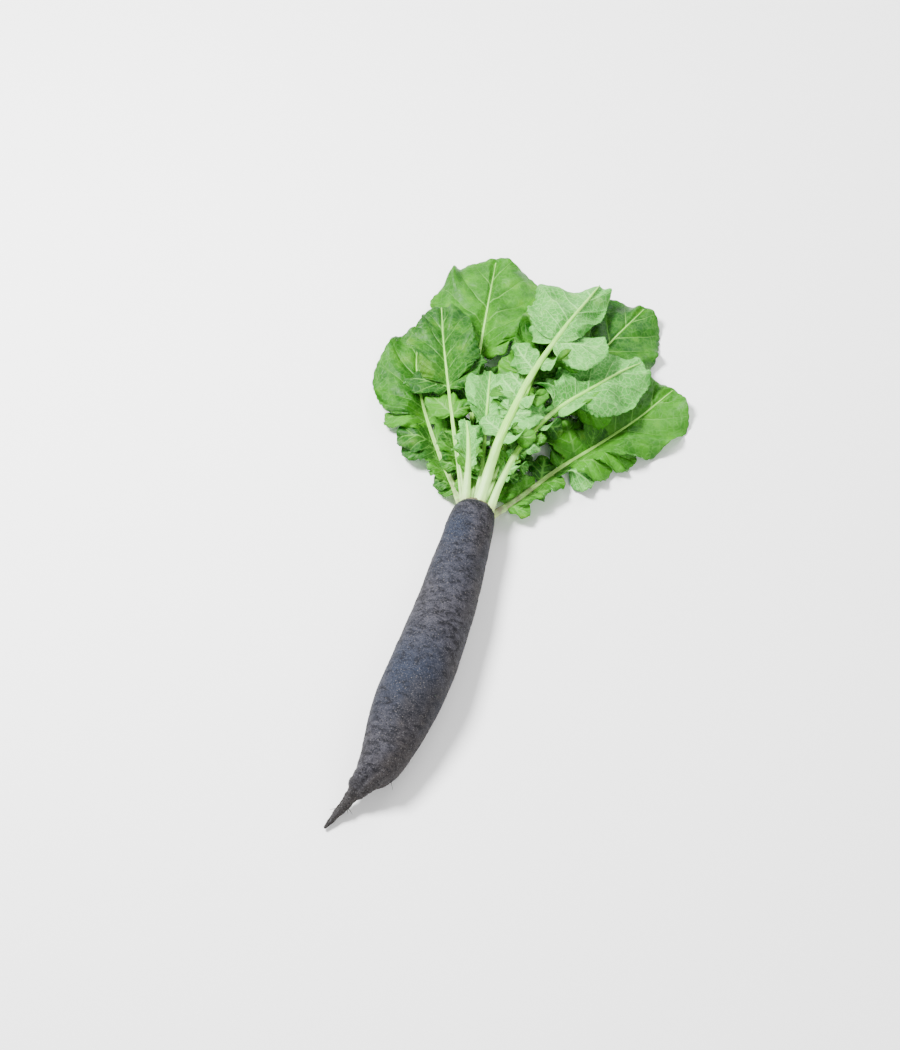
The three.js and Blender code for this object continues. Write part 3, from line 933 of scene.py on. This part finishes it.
def build_stalk(name, leaf, stalk):
    """The stalk: ribbed on its lower side and grooved on its upper, in one with the midrib."""
    share = np.linspace(0, 1, STALK_RINGS)
    width, height = stalk_size(leaf["base"], share, leaf["turned"])
    angle = np.arange(STALK_SIDES) * 2 * math.pi / STALK_SIDES
    below = np.clip(-np.sin(angle), 0, 1)
    groove = np.exp(-(((angle - math.pi / 2) / 0.42) ** 2))
    ribs = 1 + 0.045 * np.cos(7 * angle) * below
    fade = smoothstep(0.0, 0.12, share) * smoothstep(0.95, 0.6, share)
    radial = ribs[None, :] - 0.38 * groove[None, :] * fade[:, None]
    across = np.cos(angle)[None, :] * width[:, None] * radial
    up = np.sin(angle)[None, :] * height[:, None] * radial
    reach = share * stalk.length
    points = stalk.place(across, np.repeat(reach[:, None], STALK_SIDES, axis=1), up)
    points += unit(points - stalk.centres_at(reach)[:, None]) * (0.14 * fractal(points, 5, 131, 2))[..., None]
    points[..., 2] = np.maximum(points[..., 2], 0.15)
    ends = stalk.centres_at(np.array([0.0, stalk.length])) + np.array([[0, -0.6, 0], [0, 0.4, 0]])
    from_crown = np.concatenate([np.repeat(reach, STALK_SIDES), [0, stalk.length]])
    round_it = np.concatenate([np.tile(np.sin(angle) * 3, STALK_RINGS), [0, 0]]) + np.concatenate(
        [np.tile(np.cos(angle) * 3, STALK_RINGS), [0, 0]]
    )
    purple = leaf["purple"] * smoothstep(0.75, 0.0, from_crown / stalk.length)
    piece = make_piece(
        name + "_stalk_skin", tube_points(points, *ends), tube_faces(STALK_RINGS, STALK_SIDES), [STALK],
        attributes={"reach": from_crown, "round_it": round_it, "purple": purple},
    )
    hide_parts(name + "_stalk")
    return points.reshape(-1, 3)


def build_leaf(number, name, leaf):
    rng = np.random.default_rng(100 + number)
    first_x, first_z = leaf["points"][0]
    route = smooth_curve([(first_x, STALK_START_Y, first_z), *leaf["points"][1:]], 240)
    clear = ground.lay(route, leaf["base"][1] + 2.5)[:, 2] - route[:, 2]
    clear = np.convolve(np.pad(clear, 30, mode="edge"), np.hanning(61) / np.hanning(61).sum(), mode="valid")
    route[:, 2] += clear * smoothstep(145, 190, route[:, 1])
    stalk = Stalk(route, -UP if leaf["turned"] else UP)
    stalk_points = build_stalk(name, leaf, stalk)
    blade = Blade(name + "_blade_skin", stalk)
    count, first, last, small, large = leaf["pairs"]
    places = []
    for at in np.arange(leaf["bare"], first - 0.01, 0.03):
        for hand in (-1, 1):
            places.append((at + rng.uniform(-0.02, 0.02), hand, rng.uniform(0.55, 1.4) * small))
    for k in range(count):
        share = k / max(count - 1, 1)
        for hand in (-1, 1):
            size = (small + (large - small) * share) * rng.uniform(0.8, 1.2)
            places.append((first + (last - first) * share + rng.uniform(-0.03, 0.03), hand, size))
    for k, (at, hand, size) in enumerate(places):
        look = lobe_look(
            rng, size, leaf["turned"], leaf["hang"], fold=rng.uniform(-0.3, 0.6), tint=rng.uniform(-0.6, 1.0)
        )
        often_over = (0.85 if size < 20 else 0.5) if leaf["turned"] else 0.08
        over = math.pi if rng.random() < often_over else 0.0
        spine = side_spine(
            stalk, at * stalk.length, hand, size, math.radians(rng.uniform(38, 78)),
            over + rng.uniform(-0.7, 0.7), rng.uniform(-0.1, 0.6),
        )
        rows = int(np.clip(size, SIDE_LOBE_FEWEST_ROWS, SIDE_LOBE_MOST_ROWS))
        half_width = size * rng.uniform(0.36, 0.56)
        blade.add_lobe(spine, size, half_width, look, 1000 * number + 10 * k, rows, rows * 3 // 10)
    start, half_width, fold, egg = leaf["end"]
    length = (1 - start) * stalk.length * END_LOBE_STRETCH
    end = stalk.beyond(start * stalk.length)
    look = lobe_look(
        rng, length, leaf["turned"], leaf["hang"],
        fold=fold, egg=egg, teeth=17, tooth=1.3, skew=leaf.get("skew", 0),
    )
    blade.add_lobe(end, length, half_width, look, 1000 * number + 777, END_LOBE_ROWS, END_LOBE_COLUMNS)
    piece = blade.finish()
    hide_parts(name + "_blade")
    ground.add(stalk_points)


class Stalk(Spine):
    def centres_at(self, reach):
        return self.at(reach)[0]

    def tuck(self, points):
        """Lowers points that would cover the stalk, so that they pass beside or under it."""
        flat = points[..., None, :2] - self.centres[::2, :2]
        away = np.hypot(flat[..., 0], flat[..., 1])
        nearest = np.argmin(away, axis=-1)
        away = np.take_along_axis(away, nearest[..., None], axis=-1)[..., 0]
        most = self.centres[::2, 2][nearest] - 0.3 + np.maximum(away - 1.5, 0) * 0.9
        tucked = points.copy()
        tucked[..., 2] = np.minimum(points[..., 2], most)
        return tucked

    def beyond(self, reach):
        """The rest of the stalk, as the end lobe's midrib."""
        keep = self.reached >= reach
        up = self.normal[keep][0]
        lifted = self.centres[keep] + self.normal[keep] * 0.5
        return Spine(lifted, up)


# The stage.


def soft_light(name, place, size, power):
    light = bpy.data.lights.new(name, "AREA")
    light.shape = "DISK"
    light.size = size
    light.energy = power
    lamp = bpy.data.objects.new(name, light)
    lamp.location = place
    lamp.rotation_euler = (Vector((0, 0.08, 0)) - Vector(place)).to_track_quat("-Z", "Y").to_euler()
    bpy.context.scene.collection.objects.link(lamp)


def build_stage():
    mesh = bpy.data.meshes.new("floor")
    wide, low = 6.0, -0.0002
    corners = [(-wide, -wide, low), (wide, -wide, low), (wide, wide, low), (-wide, wide, low)]
    mesh.from_pydata(corners, [], [(0, 1, 2, 3)])
    material, tree = new_material("floor")
    finish_material(tree, (0.95, 0.95, 0.95, 1), 0.9, 0.0, 0.0, specular=0.1)
    mesh.materials.append(material)
    floor = bpy.data.objects.new("floor", mesh)
    bpy.context.scene.collection.objects.link(floor)
    world = bpy.data.worlds.new("studio")
    world.use_nodes = True
    world.node_tree.nodes["Background"].inputs["Color"].default_value = (1, 1, 1, 1)
    world.node_tree.nodes["Background"].inputs["Strength"].default_value = 0.7
    bpy.context.scene.world = world
    soft_light("key", (-0.75, 0.25, 1.2), 0.45, 74)
    soft_light("fill", (0.9, -0.6, 1.0), 1.0, 10)
    soft_light("back", (0.3, 1.2, 0.9), 0.8, 14)


def build_camera():
    data = bpy.data.cameras.new("camera")
    data.lens = CAMERA_LENS
    data.sensor_width = 36
    data.clip_start = 0.01
    camera = bpy.data.objects.new("camera", data)
    camera.location = Vector(CAMERA_PLACE) * MM
    forward = Vector((
        -math.sin(CAMERA_AZIMUTH) * math.cos(CAMERA_ELEVATION),
        math.cos(CAMERA_AZIMUTH) * math.cos(CAMERA_ELEVATION),
        -math.sin(CAMERA_ELEVATION),
    ))
    camera.rotation_euler = forward.to_track_quat("-Z", "Y").to_euler()
    bpy.context.scene.collection.objects.link(camera)
    bpy.context.scene.camera = camera


build_camera()
build_stage()
build_root()
build_crown()
build_rootlets()
for number, (name, leaf) in enumerate(LEAVES.items()):
    build_leaf(number, name, leaf)
